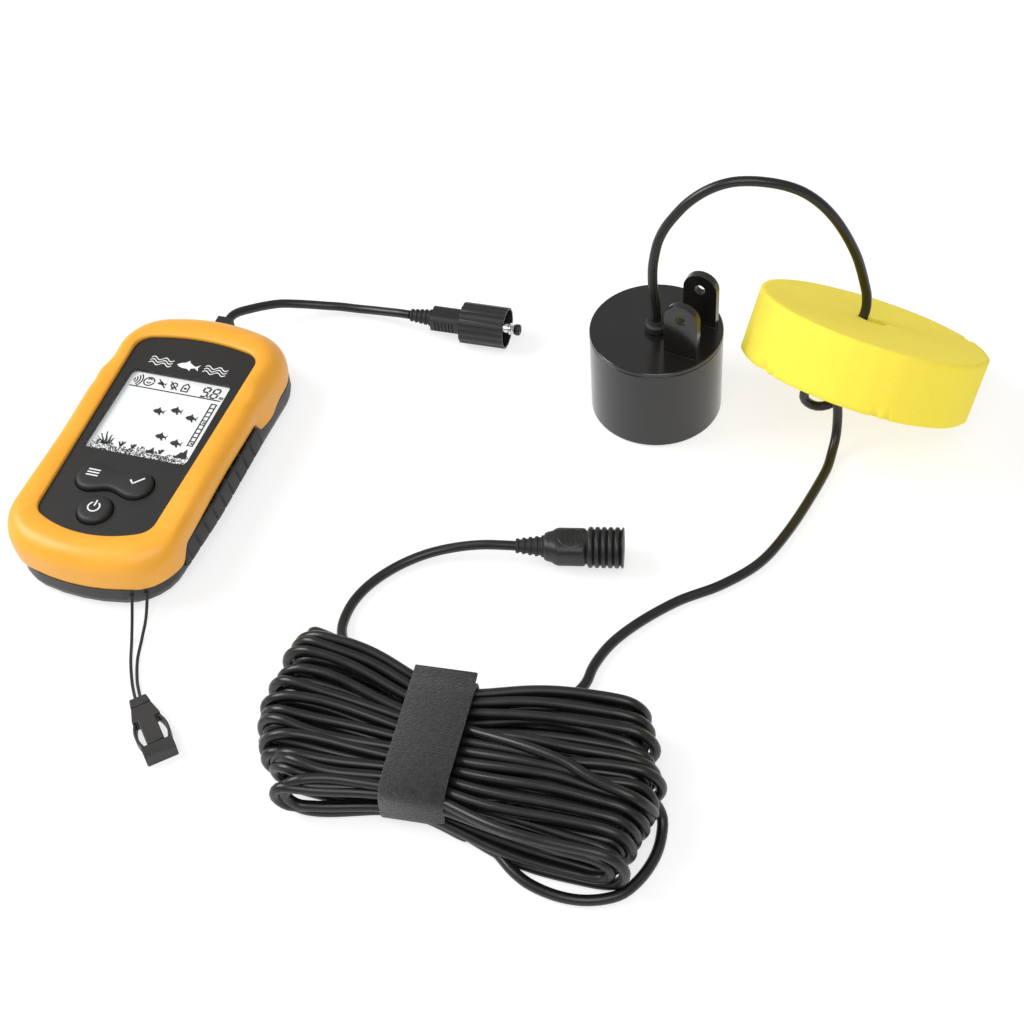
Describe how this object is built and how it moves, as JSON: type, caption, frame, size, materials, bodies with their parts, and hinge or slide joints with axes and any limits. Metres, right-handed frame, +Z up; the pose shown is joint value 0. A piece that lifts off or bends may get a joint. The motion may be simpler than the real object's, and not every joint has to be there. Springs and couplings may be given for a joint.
{
  "type": "fish finder",
  "caption": "Handheld fish finder with a colour case, screen and keys, a corded puck transducer with float, a waterproof plug and socket, and a strapped hank of cable.",
  "frame": {"origin": "middle of the handset's flat back, on the surface it lies on", "axes": "+X across the handset towards the transducer, +Y from the keys towards the cable end, +Z up out of the screen"},
  "size_m": [0.3179, 0.2636, 0.1035],
  "materials": {
    "orange_plastic": "satin moulded plastic",
    "charcoal_plastic": "fine matt moulded plastic",
    "black_plastic": "semi-matt moulded plastic",
    "black_rubber": "matt rubber",
    "key_rubber": "soft-touch silicone rubber",
    "gloss_black": "polished moulded plastic",
    "cable_jacket": "smooth cable jacket",
    "clear_window": "clear flat window",
    "display": "liquid-crystal display cell",
    "light_guide": "frosted light guide",
    "circuit_board": "green solder mask",
    "steel": "plated steel",
    "battery_wrap": "printed-free wrap",
    "chrome": "bright chrome plate",
    "brass": "plain brass",
    "foam": "closed-cell foam, cut edges",
    "ceramic": "fired piezo ceramic",
    "cork": "pressed cork",
    "resin": "cast resin",
    "strap_fabric": "brushed loop fabric",
    "cord": "braided thin cord",
    "grey_plastic": "moulded plastic"
  },
  "bodies": {
    "sounder": {"front_shell": "orange_plastic", "back_shell": "black_plastic", "case_seal": "black_rubber", "case_screw_1": "steel", "case_screw_2": "steel", "case_screw_3": "steel", "case_screw_4": "steel", "battery_bay": "black_plastic", "battery_1": "battery_wrap", "battery_2": "battery_wrap", "battery_3": "battery_wrap", "battery_4": "battery_wrap", "contact_plate_top": "steel", "contact_plate_foot": "steel", "front_panel": "charcoal_plastic", "screen_window": "clear_window", "display_cell": "display", "light_guide": "light_guide", "main_board": "circuit_board", "buzzer": "black_plastic", "setup_switch": "steel", "enter_switch": "steel", "power_switch": "steel", "side_grip_left": "black_rubber", "side_grip_right": "black_rubber", "handset_gland": "black_rubber", "lead_cable": "cable_jacket", "plug_strain_relief": "black_rubber", "plug_body": "black_plastic", "plug_seal": "black_rubber", "plug_pin": "chrome", "plug_tip": "black_plastic", "socket_strain_relief": "black_rubber", "socket_body": "black_plastic", "socket_contact": "brass", "transducer_housing": "gloss_black", "transducer_lid": "gloss_black", "transducer_gland": "black_rubber", "piezo_disc": "ceramic", "cork_backing": "cork", "potting_resin": "resin", "sensor_cable": "cable_jacket", "cable_loose_loop": "cable_jacket", "cable_tail": "cable_jacket", "cable_hank": "cable_jacket", "hank_strap": "strap_fabric", "lanyard_cord": "cord", "lanyard_ferrule": "cord", "buckle_male": "grey_plastic", "buckle_female": "grey_plastic"},
    "setup_enter_key_body": {"setup_enter_key": "key_rubber"},
    "power_key_body": {"power_key": "key_rubber"},
    "battery_door_body": {"battery_door": "black_plastic"},
    "plug_nut_body": {"plug_nut": "black_plastic"},
    "buckle_arm_left_body": {"buckle_arm_left": "grey_plastic"},
    "buckle_arm_right_body": {"buckle_arm_right": "grey_plastic"},
    "float_body": {"float": "foam"}
  },
  "joints": [
    {"name": "setup_enter_rocker", "type": "hinge", "parent": "sounder", "child": "setup_enter_key_body", "pos_m": [-0.0006, -0.0267, 0.0197], "axis": [0, 1, 0], "range_deg": [-2.5, 2.5], "stiffness_Nm_per_rad": 0.4},
    {"name": "power_press", "type": "slide", "parent": "sounder", "child": "power_key_body", "axis": [0, 0, -1], "range_m": [0, 0.0005], "stiffness_N_per_m": 2500},
    {"name": "battery_door_slide", "type": "slide", "parent": "sounder", "child": "battery_door_body", "axis": [0, -1, 0], "range_m": [0, 0.012]},
    {"name": "plug_nut_turn", "type": "hinge", "parent": "sounder", "child": "plug_nut_body", "pos_m": [0.0648, 0.096, 0.0081], "axis": [0.9994, 0.0349, 0], "continuous": true},
    {"name": "buckle_left_squeeze", "type": "hinge", "parent": "sounder", "child": "buckle_arm_left_body", "pos_m": [0.04782, -0.10265, 0], "axis": [0, 0, -1], "range_deg": [0, 5], "stiffness_Nm_per_rad": 0.3},
    {"name": "buckle_right_squeeze", "type": "hinge", "parent": "sounder", "child": "buckle_arm_right_body", "pos_m": [0.04194, -0.10822, 0], "axis": [0, 0, 1], "range_deg": [0, 5], "stiffness_Nm_per_rad": 0.3},
    {"name": "float_turn", "type": "hinge", "parent": "sounder", "child": "float_body", "pos_m": [0.23921, 0.09562, 0.04366], "axis": [0.1773, 0.515, 0.8387], "range_deg": [-100, 12]}
  ]
}
